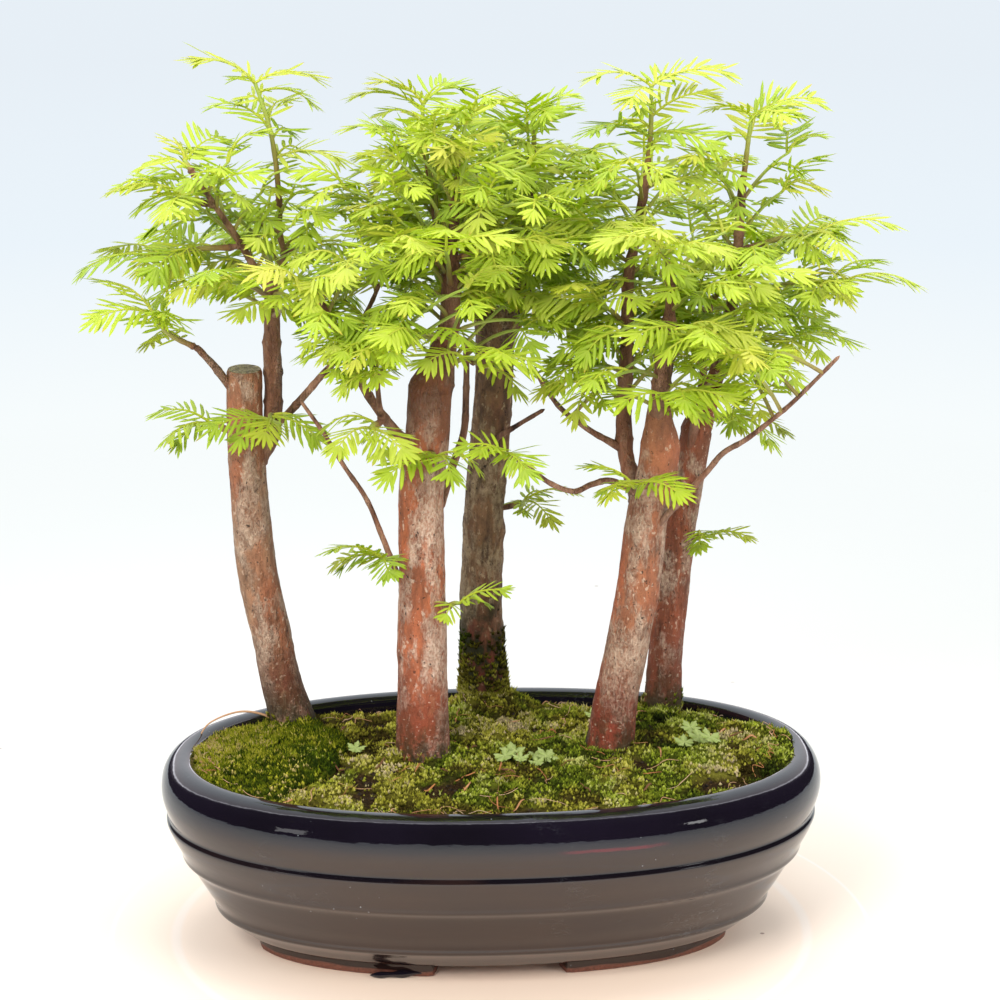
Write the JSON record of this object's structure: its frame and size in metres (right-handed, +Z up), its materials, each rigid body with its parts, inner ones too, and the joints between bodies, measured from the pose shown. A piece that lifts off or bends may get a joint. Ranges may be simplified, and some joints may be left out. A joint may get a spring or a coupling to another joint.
{
  "type": "dawn redwood bonsai forest",
  "caption": "Upright grove of dawn redwood trunks with soft feathery foliage, planted in moss in a dark glazed oval tray on low feet.",
  "frame": {"origin": "middle of the bounding box's base, on the surface that the tray's feet stand on", "axes": "+Z up, +X along the tray to the right seen from the front, +Y to the back of the planting"},
  "size_m": [0.2654, 0.1628, 0.281],
  "materials": {
    "glaze": "dark navy to black glossy glaze, unglazed rusty clay at the feet",
    "screen": "coarse black net",
    "soil": "dark crumbly soil with grit",
    "moss": "short dense moss, olive to dark green",
    "cushion": "bright green cushion moss",
    "bark": "fissured red-brown bark with pale grey patches",
    "foliage": "soft lime green needles, slightly glossy"
  },
  "bodies": {
    "root": {"drain_screen_left": "screen", "drain_screen_right": "screen", "moss_carpet": "moss", "moss_cushion": "cushion", "shoot_back_east": "foliage", "shoot_back_east_low": "foliage", "shoot_back_left_top": "foliage", "shoot_back_low": "foliage", "shoot_back_rear_left": "foliage", "shoot_back_rear_right": "foliage", "shoot_back_top": "foliage", "shoot_end_back": "foliage", "shoot_end_back_low": "foliage", "shoot_end_east": "foliage", "shoot_end_east_low": "foliage", "shoot_end_front": "foliage", "shoot_end_low": "foliage", "shoot_end_low_back": "foliage", "shoot_end_south_east": "foliage", "shoot_end_top": "foliage", "shoot_left_back": "foliage", "shoot_left_east": "foliage", "shoot_left_front": "foliage", "shoot_left_front_east": "foliage", "shoot_left_leader_end": "foliage", "shoot_left_low_back": "foliage", "shoot_left_low_front": "foliage", "shoot_left_low_west": "foliage", "shoot_left_top": "foliage", "shoot_left_west": "foliage", "shoot_left_west_back": "foliage", "shoot_left_west_high": "foliage", "shoot_middle_branch": "foliage", "shoot_middle_east": "foliage", "shoot_middle_far_west": "foliage", "shoot_middle_front": "foliage", "shoot_middle_front_low": "foliage", "shoot_middle_front_right": "foliage", "shoot_middle_low_left": "foliage", "shoot_middle_low_right": "foliage", "shoot_middle_notch": "foliage", "shoot_middle_right": "foliage", "shoot_middle_second_top": "foliage", "shoot_middle_top": "foliage", "shoot_middle_west": "foliage", "shoot_right_front": "foliage", "shoot_right_front_low": "foliage", "shoot_right_front_mid": "foliage", "shoot_right_low_fan": "foliage", "shoot_right_low_left": "foliage", "shoot_right_top": "foliage", "shoot_right_west": "foliage", "shoot_right_west_low": "foliage", "soil": "soil", "tray": "glaze", "tree_back": "bark", "tree_end": "bark", "tree_left": "bark", "tree_middle": "bark", "tree_right": "bark"}
  },
  "joints": []
}
